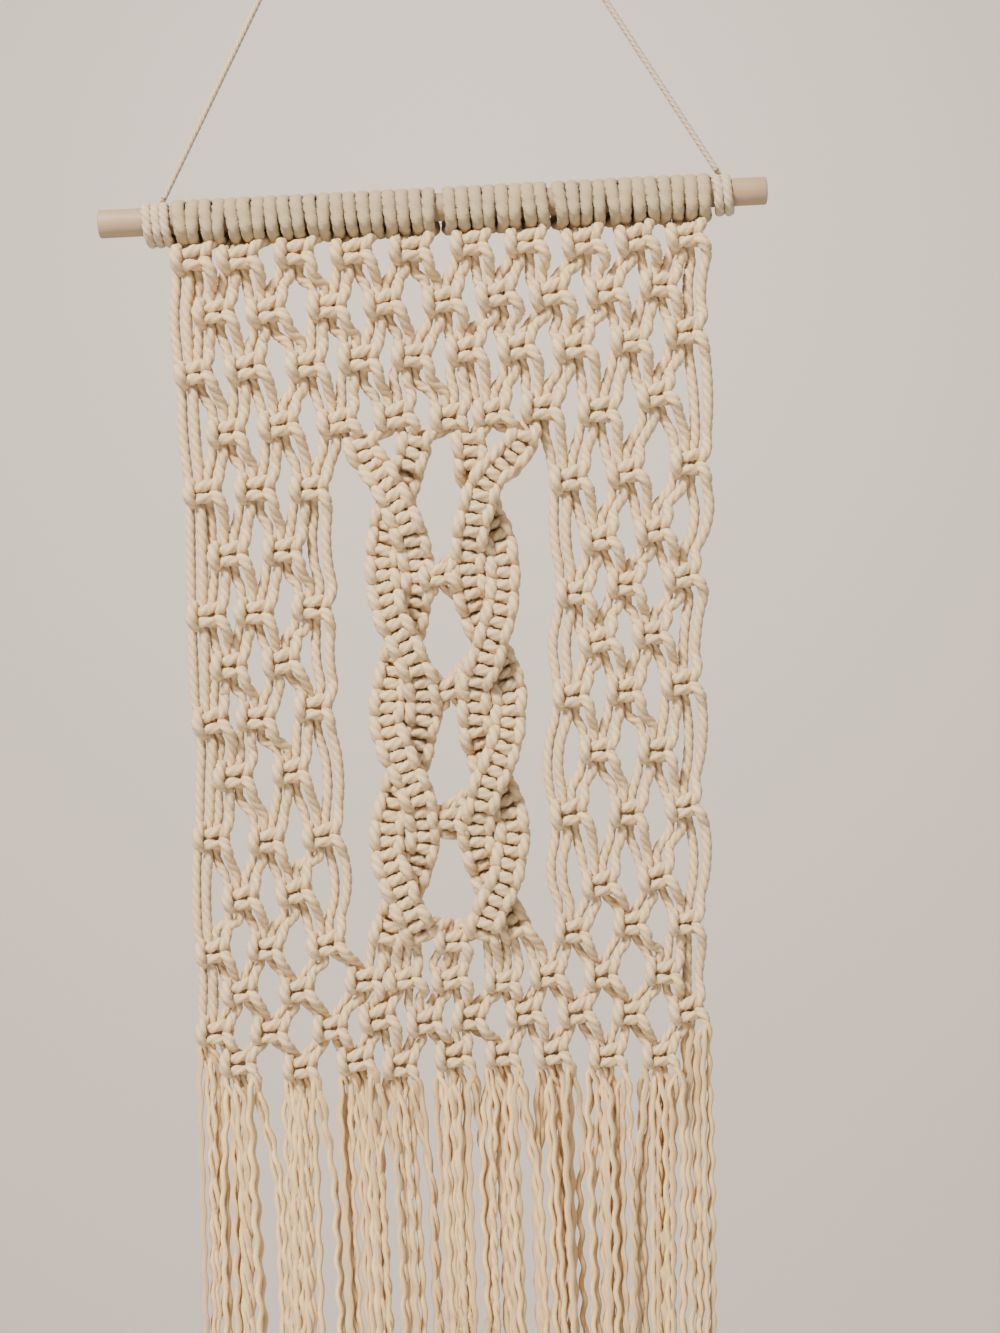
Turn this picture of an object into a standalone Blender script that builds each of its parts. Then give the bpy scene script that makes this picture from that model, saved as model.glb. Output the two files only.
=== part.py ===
"""Macrame wall hanging on a wooden dowel.

Forty natural cotton strands hang from twenty lark's heads on a round dowel.
They are worked into alternating square knots: a full-width net of four rows,
two side strips of nine rows, four square-knot sennits that cross in pairs in
the middle, and a full-width net again, below which every strand is combed out
into its three plies as a fringe.  A thin cord tied round both ends of the
dowel runs up to one hanging point, which is the origin.

Frame: +Z up, +X to the viewer's right, the front faces -Y, metres.
The chart below is in millimetres: x from the middle of the dowel, and drop
measured down from the dowel's axis.
"""
import math
import random

import bmesh
import bpy
from mathutils import Vector

MM = 0.001

# ---------------------------------------------------------------- sizes (mm)
DOWEL_DIAMETER = 12.7
DOWEL_LENGTH = 305.0
DOWEL_SIDES = 16
DOWEL_DROP = 196.0            # dowel axis below the hanging point

CORD_DIAMETER = 3.0           # hanging cord
LEFT_EXIT_X = -122.6          # where the cord leaves each winding
RIGHT_EXIT_X = 130.5
CORD_MEET = (-0.5, -234.7)    # x and drop where its straight halves would meet
CORD_CLEAR = 0.4              # air between the cord and the windings, and above its peak
CORD_STEP = 9.0
ARC_STEPS = 60
LEFT_WINDING = (-133.6, -118.5)
RIGHT_WINDING = (126.9, 137.6)
WINDING_VALLEY = 0.65         # how far out two turns meet, in cord diameters
TURN_WIDTH = 4.4              # of a turn, which lies slack and flattened

GAP = 0.3                     # left between neighbouring pieces
BORE_CLEAR = 0.35             # between the dowel and what is wound on it
HEADING = (-118.2, 126.6)
HEADING_SIDES = 8
HEADING_CREST = 10.9
HEADING_VALLEY = 9.3

STRANDS = 40
STRAND = 4.0                  # side of a strand's square section
PITCH = 4.9                   # strand to strand inside a knot
BAR_RISE = 2.6                # a worker's bar falls from +rise to -rise
BAR_DEPTH = 5.6               # a worker passes this far before or behind
KNOT_HALF = 6.2               # half the height of a fused knot
KNOT_DEPTH = 6.6              # how far its bars stand out
KNOT_VALLEY = 4.3
KNOT_BACK = 5.6
KNOT_WIDE = 9.4               # half its width in front
KNOT_BACK_WIDE = 9.2
BUMP_DEPTH = 5.7              # the worker that runs down its left side
BAR_START = 4.1               # a bar comes out from under the bump this far left
BAR_TILT = 0.9                # and rises this much to the right
BAR_END_DEPTH = 4.7

RIBBON_HALF = 7.9             # half the width of a sennit at a bar
RIBBON_NOTCH = 0.7            # and how much less it is between two bars
RIBBON_CREST = 4.0            # half its thickness at a bar
RIBBON_VALLEY = 3.1
RIBBON_OFFSET = 4.4           # depth of each sennit where two cross
RIBBON_STEP = 5.0
RIBBON_TOP = 109.0
RIBBON_BOTTOM = 328.0

PLY_RADIUS = 1.25
PLY_TAPER = 0.8               # size of its tip
PLY_OFFSETS = ((-1.9, -1.4), (0.0, 2.0), (1.9, -1.4))
FRINGE_STAGGER = 2.2
FRINGE_LEAD = 12.0            # where the plies have parted
LEAD_STAGGER = 0.9            # share of the stagger that they have there
LEAD_SHARE = 0.35             # and of the way to their place in the fringe
FRINGE_MIDDLE = 488.0
FRINGE_TIP = 592.0
MIDDLE_LEAN = 0.6             # share of the lean at the middle
LEAN_LEFT = -7.0              # how far the fringe leans at its two sides
LEAN_RIGHT = -4.0
UNEVEN = 4.0                  # how much the strands differ in length
PLY_UNEVEN = 1.5
SWING = 0.5

# --------------------------------------------------------------- knot chart
# A row of the chart is a run of square knots: its row number, the number of
# its first strand (0 to 39), how many knots it has, and x and drop of the
# first and of the last one.  "fused" knots are ridged blocks, the others are
# crossing strands.
COLUMNS = ("row", "first", "knots", "x0", "x1", "drop0", "drop1", "fused")
CHART = (
    (1, 0, 10, -112, 115, 17.6, 19.0, True),
    (2, 2, 9, -102, 102, 43, 41, False),
    (3, 0, 10, -115, 113, 70, 63, False),
    (4, 2, 9, -99, 97, 96, 92, True),
    (5, 0, 3, -114, -64, 124, 122, False),
    (5, 28, 3, 58, 111, 126, 122, False),
    (6, 2, 2, -104, -79, 152, 151, False),
    (6, 30, 2, 69, 96, 154, 152, False),
    (7, 0, 3, -114, -66, 180, 177, False),
    (7, 28, 3, 55, 106, 179, 174, False),
    (8, 2, 2, -104, -80, 205, 204, False),
    (8, 30, 2, 66, 91.5, 201, 200, False),
    (9, 0, 3, -115, -68, 229, 226, False),
    (9, 28, 3, 51, 102, 226, 223, False),
    (10, 2, 2, -105, -80, 255, 254, False),
    (10, 30, 2, 62, 89, 252, 251, False),
    (11, 0, 3, -116, -67, 282, 282, False),
    (11, 28, 3, 48, 99, 279, 280, False),
    (12, 2, 2, -105, -80, 307, 308, False),
    (12, 30, 2, 60, 87, 311, 310, False),
    (13, 0, 3, -118, -67, 332, 331, False),
    (13, 28, 3, 49, 98, 333, 331, False),
    (14, 2, 3, -107, -55, 353, 352, False),
    (14, 14, 1, -32.5, -32.5, 353, 353, True),
    (14, 22, 1, 14, 14, 353, 353, True),
    (14, 26, 3, 38, 86, 353, 354, False),
    (15, 0, 5, -118, -20, 372, 370, True),
    (15, 20, 5, 2, 97, 370, 371, True),
    (16, 2, 9, -106, 85, 388.5, 389.5, True),
)
# The two middle knots of rows 13 and 14 sit one under the other: one bar.
MIDDLE_BAR = dict(row=14, first=18, x=-8.5, top=334.0, bottom=358.5, bars=4)
HEM_ROW = 15                  # this row and the next carry the fringe

# The four sennits hang in two pairs.  "top" is the x between a pair's upper
# ends, and each crossing is (x, drop) where its two sennits change sides.
PAIRS = {
    "left": dict(top=-25.3, crossings=((-23.5, 133), (-22.5, 196), (-24.5, 252), (-28.0, 304))),
    "right": dict(top=23.6, crossings=((16.0, 133), (16.0, 199), (14.5, 258), (13.5, 305))),
}
SENNITS = (
    dict(first=12, pair="left", side=-1, outside=True),
    dict(first=16, pair="left", side=1, outside=False),
    dict(first=20, pair="right", side=-1, outside=False),
    dict(first=24, pair="right", side=1, outside=True),
)
# Half the distance of two sennits side by side, and the sideways offsets up to
# which each is wholly in its own layer and from which it is in the middle
# plane: at the top, on the way and at the bottom.
SPREAD = dict(
    top=dict(half=12.6, layered=10.4, level=12.5),
    way=dict(half=9.9, layered=8.9, level=9.8),
    bottom=dict(half=9.9, layered=8.9, level=9.8),
)


def smooth(t):
    t = min(1.0, max(0.0, t))
    return t * t * (3 - 2 * t)


# ------------------------------------------------------------- mesh building
class Mesh:
    """Points in the chart's (x, depth, drop) and faces between them."""

    def __init__(self):
        self.points = []
        self.faces = []

    def add(self, x, y, drop):
        self.points.append((x, y, drop))
        return len(self.points) - 1

    def middle(self, ring):
        return sum((Vector(self.points[i]) for i in ring), Vector()) / len(ring)

    def face(self, *corners):
        self.faces.append(corners)

    def walls(self, upper, lower):
        n = len(upper)
        for i in range(n):
            j = (i + 1) % n
            self.face(upper[i], lower[i], lower[j], upper[j])

    def strip(self, a, b):
        """Triangles between two rows of points that run side by side."""
        i = j = 0
        while i < len(a) - 1 or j < len(b) - 1:
            if j == len(b) - 1 or (i < len(a) - 1 and
                                   (i + 1) / (len(a) - 1) <= (j + 1) / (len(b) - 1)):
                self.face(a[i], b[j], a[i + 1])
                i += 1
            else:
                self.face(a[i], b[j], b[j + 1])
                j += 1

    def tube(self, points, start=None, end=None, wide=STRAND, deep=STRAND):
        """A strand of four sides through points, from ring to ring or capped."""
        points = [Vector(p) for p in points]
        path = ([self.middle(start)] if start else []) + points + ([self.middle(end)] if end else [])
        normals = []
        for a, b in zip(path, path[1:]):
            t = Vector((b.x - a.x, b.z - a.z))
            t.normalize()
            normals.append(Vector((t.y, -t.x)))
        rings = []
        for k, p in enumerate(points, start=1 if start else 0):
            before = normals[max(k - 1, 0)]
            after = normals[min(k, len(normals) - 1)]
            n = before + after
            n.normalize()
            half = 0.5 * wide / max(0.5, n.dot(before))
            hx, hz = n.x * half, n.y * half
            rings.append([self.add(p.x - hx, p.y - deep / 2, p.z - hz),
                          self.add(p.x + hx, p.y - deep / 2, p.z + hz),
                          self.add(p.x + hx, p.y + deep / 2, p.z + hz),
                          self.add(p.x - hx, p.y + deep / 2, p.z - hz)])
        if start:
            rings.insert(0, start)
        else:
            self.face(*rings[0])
        if end:
            rings.append(end)
        else:
            self.face(*reversed(rings[-1]))
        for a, b in zip(rings, rings[1:]):
            self.walls(a, b)

    def build(self, name, material):
        mesh = bpy.data.meshes.new(name)
        mesh.from_pydata([(x * MM, y * MM, -(DOWEL_DROP + d) * MM)
                          for x, y, d in self.points], [], self.faces)
        bm = bmesh.new()
        bm.from_mesh(mesh)
        loose = [v for v in bm.verts if not v.link_faces]
        bmesh.ops.delete(bm, geom=loose, context="VERTS")
        bmesh.ops.triangulate(bm, faces=bm.faces)
        bmesh.ops.recalc_face_normals(bm, faces=bm.faces)
        bm.to_mesh(mesh)
        bm.free()
        mesh.validate()
        return place(name, mesh, material)


def place(name, data, material):
    data.materials.append(material)
    obj = bpy.data.objects.new(name, data)
    bpy.context.scene.collection.objects.link(obj)
    obj.parent = ROOT
    return obj


def paint(name, colour, roughness):
    m = bpy.data.materials.new(name)
    m.use_nodes = True
    bsdf = m.node_tree.nodes["Principled BSDF"]
    bsdf.inputs["Base Color"].default_value = (*colour, 1)
    bsdf.inputs["Roughness"].default_value = roughness
    bsdf.inputs["Metallic"].default_value = 0.0
    return m


# ------------------------------------------------------- pieces on the dowel
def ring_of(mesh, x, radius, sides, turn=0.5):
    return [mesh.add(x, radius * math.cos(2 * math.pi * (k + turn) / sides),
                     radius * math.sin(2 * math.pi * (k + turn) / sides))
            for k in range(sides)]


def lathe(mesh, outline, sides, bore, bore_sides):
    """A ring about the dowel's axis: outline is (x, radius) along its outside."""
    rings = [ring_of(mesh, x, r, sides) for x, r in outline]
    for a, b in zip(rings, rings[1:]):
        mesh.walls(a, b)
    bores = [ring_of(mesh, x, bore, bore_sides) for x in (outline[0][0], outline[-1][0])]
    mesh.walls(bores[1], bores[0])
    for outer, inner in ((rings[0], bores[0]), (rings[-1], bores[1])):
        step = bore_sides // sides
        shift = step // 2
        for i in range(sides):
            j = (i + 1) % sides
            inside = [inner[(i * step + shift + k) % bore_sides] for k in range(step + 1)]
            mesh.strip([outer[i], outer[j]], inside)


def ridged(x0, x1, ridges, crest, valley):
    pitch = (x1 - x0) / ridges
    outline = []
    for k in range(ridges):
        outline += [(x0 + k * pitch, valley), (x0 + (k + 0.5) * pitch, crest)]
    return outline + [(x1, valley)]


def dowel():
    mesh = Mesh()
    rings = [ring_of(mesh, s * DOWEL_LENGTH / 2, DOWEL_DIAMETER / 2, DOWEL_SIDES) for s in (-1, 1)]
    mesh.walls(rings[0], rings[1])
    mesh.face(*rings[0])
    mesh.face(*reversed(rings[1]))
    return mesh.build("dowel", WOOD)


BORE = DOWEL_DIAMETER / 2 + BORE_CLEAR


def heading():
    mesh = Mesh()
    lathe(mesh, ridged(*HEADING, STRANDS, HEADING_CREST, HEADING_VALLEY),
          HEADING_SIDES, BORE, DOWEL_SIDES)
    return mesh.build("heading", COTTON)


def winding(name, span):
    mesh = Mesh()
    turns = round((span[1] - span[0]) / TURN_WIDTH)
    lathe(mesh, ridged(*span, turns, BORE + CORD_DIAMETER, BORE + WINDING_VALLEY * CORD_DIAMETER),
          DOWEL_SIDES, BORE, DOWEL_SIDES)
    return mesh.build(name, CORD)


def cord_route():
    """The hanging cord's middle line, from the left winding to the right one:
    two straight halves, joined by a round arc where it hangs over its hook."""
    foot = -(BORE + CORD_DIAMETER + CORD_CLEAR)
    meet = Vector(CORD_MEET)
    exits = [Vector((x, foot)) for x in (LEFT_EXIT_X, RIGHT_EXIT_X)]
    left, right = [(e - meet).normalized() for e in exits]
    middle = (left + right).normalized()
    sine = math.sqrt(1 - middle.dot(left) ** 2)
    radius = (CORD_CLEAR - DOWEL_DROP - meet.y) / ((1 / sine - 1) * middle.y)
    centre = meet + middle * (radius / sine)
    spread = math.acos(sine)
    fine = [exits[0]]
    for k in range(ARC_STEPS + 1):
        turn = spread * (2 * k / ARC_STEPS - 1)
        c, s = math.cos(turn), math.sin(turn)
        fine.append(centre - radius * Vector((middle.x * c - middle.y * s, middle.x * s + middle.y * c)))
    fine.append(exits[1])
    length = sum((b - a).length for a, b in zip(fine, fine[1:]))
    count = round(length / CORD_STEP)
    points, walked, goal = [fine[0]], 0.0, length / count
    for a, b in zip(fine, fine[1:]):
        piece = (b - a).length
        while walked + piece >= goal - 1e-9 and len(points) < count:
            points.append(a.lerp(b, (goal - walked) / piece))
            goal += length / count
        walked += piece
    points.append(fine[-1])
    return [Vector((p.x, 0.0, -DOWEL_DROP - p.y)) for p in points]


def hanging_cord():
    curve = bpy.data.curves.new("hanging_cord", "CURVE")
    curve.dimensions = "3D"
    curve.bevel_depth = CORD_DIAMETER / 2 * MM
    curve.bevel_resolution = 2
    curve.use_fill_caps = True
    spline = curve.splines.new("POLY")
    points = cord_route()
    spline.points.add(len(points) - 1)
    for target, p in zip(spline.points, points):
        target.co = (p.x * MM, p.y * MM, p.z * MM, 1)
    return place("hanging_cord", curve, CORD)


# ---------------------------------------------------------------- the knots
def knots():
    """Every knot of the chart, as a dictionary with its place."""
    found = []
    for line in CHART:
        run = dict(zip(COLUMNS, line))
        for k in range(run["knots"]):
            t = k / max(1, run["knots"] - 1)
            found.append(dict(row=run["row"], first=run["first"] + 4 * k,
                              x=run["x0"] + (run["x1"] - run["x0"]) * t,
                              drop=run["drop0"] + (run["drop1"] - run["drop0"]) * t,
                              fused=run["fused"]))
    return found


def offset(slot):
    return (slot - 1.5) * PITCH


def port_row(mesh, x, y, drop, plies=()):
    """The end of a ridged block: a front and a back row of points, and the
    square ring of points where each of its four strands leaves."""
    front, back, rings, middles = [], [], [], {}
    for slot in range(4):
        left, right = x + offset(slot) - STRAND / 2, x + offset(slot) + STRAND / 2
        fl = mesh.add(left, y - STRAND / 2, drop)
        front.append(fl)
        if slot in plies:
            middles[slot] = mesh.add((left + right) / 2, y - STRAND / 2, drop)
            front.append(middles[slot])
        fr = mesh.add(right, y - STRAND / 2, drop)
        front.append(fr)
        bl = mesh.add(left, y + STRAND / 2, drop)
        br = mesh.add(right, y + STRAND / 2, drop)
        back += [bl, br]
        rings.append([fl, fr, br, bl])
    for a, b in zip(rings, rings[1:]):
        mesh.face(a[1], b[0], b[3], a[2])
    return dict(front=front, back=back, rings=rings, middles=middles)


def ridged_block(mesh, x, top, bottom, bars, plies=()):
    """A square knot, or a short sennit, as one block: bars across its front,
    a bump down its left side, and four strands in and out."""
    upper = port_row(mesh, x, 0, top)
    lower = port_row(mesh, x, 0, bottom, plies)
    front = [upper["front"]]
    step = (bottom - top) / (2 * bars)
    for k in range(1, 2 * bars):
        crest = k % 2 == 1
        depth = KNOT_DEPTH if crest else KNOT_VALLEY
        drop = top + k * step
        tilt = BAR_TILT if crest else 0.0
        front.append([mesh.add(x - KNOT_WIDE, -BUMP_DEPTH, drop),
                      mesh.add(x - BAR_START, -depth, drop + tilt),
                      mesh.add(x + KNOT_WIDE, -BAR_END_DEPTH, drop - tilt)])
    front.append(lower["front"])
    middle = (top + bottom) / 2
    back = [upper["back"], [mesh.add(x - KNOT_BACK_WIDE, KNOT_BACK, middle),
                            mesh.add(x + KNOT_BACK_WIDE, KNOT_BACK, middle)], lower["back"]]
    for rows in (front, back):
        for a, b in zip(rows, rows[1:]):
            mesh.strip(a, b)
    for end in (0, -1):
        mesh.strip([r[end] for r in front], [r[end] for r in back])
    return upper, lower


class Net:
    """Follows every strand from block to block through the crossings."""

    def __init__(self, mesh):
        self.mesh = mesh
        self.open = {}        # strand number -> (ring it starts from, points so far)

    def leave(self, block, first, skip=()):
        for slot, ring in enumerate(block["rings"]):
            if first + slot not in skip:
                self.open[first + slot] = (ring, [])

    def enter(self, block, first):
        for slot, ring in enumerate(block["rings"]):
            strand = first + slot
            if strand in self.open:
                start, points = self.open.pop(strand)
                if points:
                    self.mesh.tube(points, start, ring)
                else:
                    self.mesh.walls(start, ring)
            else:
                self.mesh.face(*ring)

    def cross(self, knot):
        """A knot of crossing strands: the two fillers run straight through,
        the left worker passes before them and the right one behind."""
        first, x, drop = knot["first"], knot["x"], knot["drop"]
        for slot in (1, 2):
            self.open[first + slot][1].append((x + offset(slot), 0, drop))
        left, right = self.open.pop(first), self.open.pop(first + 3)
        for (ring, points), sign, target in ((left, 1, first + 3), (right, -1, first)):
            for end in (-1, 1):
                points.append((x + sign * end * offset(3), -sign * BAR_DEPTH, drop + end * BAR_RISE))
            self.open[target] = (ring, points)


def strand_end(net, strand, x, drop):
    """Cut a strand off level, just above the knot that it goes into."""
    start, points = net.open.pop(strand)
    half = STRAND / 2
    end = [net.mesh.add(x + i * half, j * half, drop) for i, j in ((-1, -1), (1, -1), (1, 1), (-1, 1))]
    net.mesh.tube(points, start, end)
    net.mesh.face(*reversed(end))


# --------------------------------------------------------------- the sennits
def sennit_line(sennit):
    """(x, depth, drop) of a sennit's middle line every RIBBON_STEP."""
    pair = PAIRS[sennit["pair"]]
    crossings = pair["crossings"]
    steps = round((RIBBON_BOTTOM - RIBBON_TOP) / RIBBON_STEP)
    line = []
    for k in range(steps + 1):
        drop = RIBBON_TOP + (RIBBON_BOTTOM - RIBBON_TOP) * k / steps
        if drop <= crossings[0][1]:
            x, first = crossings[0]
            t = (first - drop) / (first - RIBBON_TOP)
            zone, phase, ease = "top", -0.5 * t, smooth(t)
            x += (pair["top"] - x) * ease
        elif drop < crossings[-1][1]:
            n = max(i for i, c in enumerate(crossings) if c[1] < drop)
            (xa, da), (xb, db) = crossings[n], crossings[n + 1]
            t = (drop - da) / (db - da)
            zone, phase, ease, x = "way", n + t, 0.0, xa + (xb - xa) * t
        else:
            x, last = crossings[-1]
            t = (drop - last) / (RIBBON_BOTTOM - last)
            zone, phase, ease = "bottom", len(crossings) - 1 + 0.5 * t, smooth(t)
        spread = SPREAD[zone]
        half = SPREAD["way"]["half"] + (spread["half"] - SPREAD["way"]["half"]) * ease
        aside = -half * sennit["side"] * math.sin(math.pi * phase)
        layer = smooth((spread["level"] - abs(aside)) / (spread["level"] - spread["layered"]))
        before = (round(phase) % 2 == 0) == sennit["outside"]
        line.append((x + aside, (-1 if before else 1) * RIBBON_OFFSET * layer, drop))
    return line


def sennit(mesh, data):
    line = [Vector(p) for p in sennit_line(data)]
    upper = port_row(mesh, line[0].x, line[0].y, line[0].z)
    lower = port_row(mesh, line[-1].x, line[-1].y, line[-1].z)
    rings = []
    for k in range(1, len(line) - 1):
        a, b = line[k - 1], line[k + 1]
        t = Vector((b.x - a.x, b.z - a.z))
        t.normalize()
        crest = k % 2 == 1
        half = RIBBON_HALF if crest else RIBBON_HALF - RIBBON_NOTCH
        deep = RIBBON_CREST if crest else RIBBON_VALLEY
        hx, hz, p = t.y * half, -t.x * half, line[k]
        rings.append([mesh.add(p.x - hx, p.y - deep, p.z - hz), mesh.add(p.x + hx, p.y - deep, p.z + hz),
                      mesh.add(p.x + hx, p.y + deep, p.z + hz), mesh.add(p.x - hx, p.y + deep, p.z - hz)])
    for a, b in zip(rings, rings[1:]):
        mesh.walls(a, b)
    for end, ring in ((upper, rings[0]), (lower, rings[-1])):
        mesh.strip(end["front"], ring[:2])
        mesh.strip(end["back"], [ring[3], ring[2]])
        for corner, i, j in ((0, 0, 3), (-1, 1, 2)):
            mesh.face(end["front"][corner], end["back"][corner], ring[j], ring[i])
    return upper, lower


# ----------------------------------------------------------------- the panel
def panel():
    """The cloth above the hem: two nets, two strips and four sennits."""
    mesh = Mesh()
    net = Net(mesh)
    work = [dict(kind="knot", at=(k["row"], k["first"]), **k) for k in knots() if k["row"] < HEM_ROW]
    work += [dict(kind="sennit", at=(4.5, s["first"]), **s) for s in SENNITS]
    work.append(dict(kind="bar", at=(14, MIDDLE_BAR["first"]), **MIDDLE_BAR))
    for item in sorted(work, key=lambda w: w["at"]):
        if item["kind"] == "sennit":
            upper, lower = sennit(mesh, item)
        elif item["kind"] == "bar":
            upper, lower = ridged_block(mesh, item["x"], item["top"], item["bottom"], item["bars"])
        elif item["fused"]:
            upper, lower = ridged_block(mesh, item["x"], item["drop"] - KNOT_HALF,
                                        item["drop"] + KNOT_HALF, 2)
        else:
            net.cross(item)
            continue
        net.enter(upper, item["first"])
        net.leave(lower, item["first"])
    for k in knots():
        if k["row"] == HEM_ROW:
            for slot in range(4):
                strand_end(net, k["first"] + slot, k["x"] + offset(slot),
                           k["drop"] - KNOT_HALF - GAP)
    return mesh.build("panel", COTTON)


# ---------------------------------------------------------------- the fringe
def fringe():
    """The last two rows of knots, and three plies from each strand's end."""
    mesh = Mesh()
    net = Net(mesh)
    noise = random.Random(5)
    hem = [k for k in knots() if k["row"] >= HEM_ROW]
    roots = {}
    outer = (0, 1, STRANDS - 2, STRANDS - 1)
    for k in hem:
        first = k["first"]
        last = k["row"] > HEM_ROW
        plies = [s for s in range(4) if last or first + s in outer]
        upper, lower = ridged_block(mesh, k["x"], k["drop"] - KNOT_HALF, k["drop"] + KNOT_HALF, 2, plies)
        net.enter(upper, first)
        for s in range(4):
            if s in plies:
                fl, fr, br, bl = lower["rings"][s]
                m = lower["middles"][s]
                roots[first + s] = ((fl, m, bl), (m, br, bl), (m, fr, br))
            else:
                net.open[first + s] = (lower["rings"][s], [])
    edge = [k["x"] for k in hem if k["row"] == HEM_ROW]
    left, right = edge[0] - KNOT_WIDE, edge[-1] + KNOT_WIDE
    for strand, triangles in roots.items():
        ring_points = [mesh.points[i] for t in triangles for i in t]
        root = Vector((sum(p[0] for p in ring_points) / 9, sum(p[1] for p in ring_points) / 9,
                       ring_points[0][2]))
        goal = left + (strand + 0.5) * (right - left) / STRANDS
        lean = LEAN_LEFT + (LEAN_RIGHT - LEAN_LEFT) * strand / (STRANDS - 1)
        layer = FRINGE_STAGGER * (1 if strand % 2 else -1)
        tip = FRINGE_TIP + noise.uniform(-UNEVEN, UNEVEN)
        swing = noise.uniform(-SWING, SWING)
        for n, triangle in enumerate(triangles):
            ox, oy = PLY_OFFSETS[n]
            flat = [mesh.points[i] for i in triangle]
            cx, cy = sum(p[0] for p in flat) / 3, sum(p[1] for p in flat) / 3
            angles = [math.atan2(p[1] - cy, p[0] - cx) for p in flat]
            turn = 1 if (angles[1] - angles[0]) % (2 * math.pi) < math.pi else -1
            ring = list(triangle)
            stations = ((root.z + FRINGE_LEAD, root.x + LEAD_SHARE * (goal - root.x),
                         LEAD_STAGGER * layer, PLY_RADIUS),
                        (FRINGE_MIDDLE, goal + MIDDLE_LEAN * lean + swing, layer, PLY_RADIUS),
                        (tip + (n - 1) * PLY_UNEVEN, goal + lean - swing, layer, PLY_RADIUS * PLY_TAPER))
            for drop, x, y, radius in stations:
                corners = [angles[0] + turn * k * 2 * math.pi / 3 for k in range(3)]
                new = [mesh.add(x + ox + radius * math.cos(a), y + oy + radius * math.sin(a), drop)
                       for a in corners]
                mesh.walls(ring, new)
                ring = new
            mesh.face(*reversed(ring))
    return mesh.build("fringe", PLIES)


# ------------------------------------------------------------------- assembly
for old in list(bpy.data.objects):
    bpy.data.objects.remove(old, do_unlink=True)

WOOD = paint("pale_wood", (0.56, 0.38, 0.27), 0.6)
COTTON = paint("natural_cotton", (0.66, 0.56, 0.43), 0.95)
PLIES = paint("combed_cotton", (0.66, 0.54, 0.41), 0.95)
CORD = paint("cotton_cord", (0.64, 0.55, 0.43), 0.95)

ROOT = bpy.data.objects.new("macrame_wall_hanging", None)
bpy.context.scene.collection.objects.link(ROOT)

dowel()
heading()
winding("winding_left", LEFT_WINDING)
winding("winding_right", RIGHT_WINDING)
hanging_cord()
panel()
fringe()

for item in bpy.data.objects:
    if item.type == "MESH" and item.name in ("dowel", "winding_left", "winding_right", "heading"):
        item.data.shade_smooth()
        item.data.set_sharp_from_angle(angle=math.radians(40))
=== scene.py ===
"""Looks of the macrame wall hanging: every strand as a twisted three-ply cord.

The chart is in millimetres: x from the middle of the dowel, and drop measured
down from the dowel's axis.  Depth is +Y, and the front faces -Y.
"""
import math
import random

import bmesh
import bpy
import numpy as np
from mathutils import Matrix, Vector

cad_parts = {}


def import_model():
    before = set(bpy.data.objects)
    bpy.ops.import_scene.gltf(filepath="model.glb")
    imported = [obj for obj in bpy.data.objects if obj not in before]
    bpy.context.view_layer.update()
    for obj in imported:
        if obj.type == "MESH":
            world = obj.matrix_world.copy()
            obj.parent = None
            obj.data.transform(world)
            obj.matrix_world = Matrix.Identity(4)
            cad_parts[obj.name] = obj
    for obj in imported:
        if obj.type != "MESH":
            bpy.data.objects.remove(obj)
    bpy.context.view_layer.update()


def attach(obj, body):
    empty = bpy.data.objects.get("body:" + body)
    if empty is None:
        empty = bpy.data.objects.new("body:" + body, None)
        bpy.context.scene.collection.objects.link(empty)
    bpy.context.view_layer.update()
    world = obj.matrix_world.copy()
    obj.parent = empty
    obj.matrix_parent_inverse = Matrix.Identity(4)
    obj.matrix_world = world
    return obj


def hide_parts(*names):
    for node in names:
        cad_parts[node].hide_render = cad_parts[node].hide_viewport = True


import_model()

MM = 0.001
DOWEL_DROP = 196.0
DOWEL_DIAMETER = 12.7
DOWEL_LENGTH = 305.0

CORD_RADIUS = 2.75            # macrame cord of three plies, at its crests
SLIMMER = ((0, 130, 340), (1.0, .95, .86))      # its share of that at these drops
KNOT_WIDTH = ((0, 130, 340), (.90, .87, .80))   # and the knots' share of their width
LAY = 15.0                    # one turn of its twist
STEP = 1.6                    # from ring to ring along a cord
PLIES = 3
PLY_SECTION = (1.0, 0.95, 0.80, 0.95)   # crest, flank, groove, flank of one ply
CORD_SECTION = PLY_SECTION * PLIES

PRESS = 0.47                  # what a cord drawn tight over the dowel keeps of its thickness
PRESS_RADIUS = 6.6            # from this far out from the dowel's axis,
PRESS_REACH = 16.0            # up to this far,
PRESS_FADE = (2.0, 8.0)       # wholly above the first drop, and not below the second

HEADING = (-118.2, 126.6)
HEADS = 20
STRANDS = 40
HEAD_GAPS = ((10, 3.4), (14, 2.4))      # after so many heads, the dowel shows this wide
HEAD_PITCH = (HEADING[1] - HEADING[0] - sum(wide for _, wide in HEAD_GAPS)) / HEADS
STRAND_ASIDE = 2.1            # how far a head's two strands leave it from its middle
# A strand's way down behind its lark's head: (depth, drop, thickness).
BELOW_HEAD = ((9.0, -1.0, .95), (8.2, 4.5, .9), (4.6, 9.0, .86))

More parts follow.
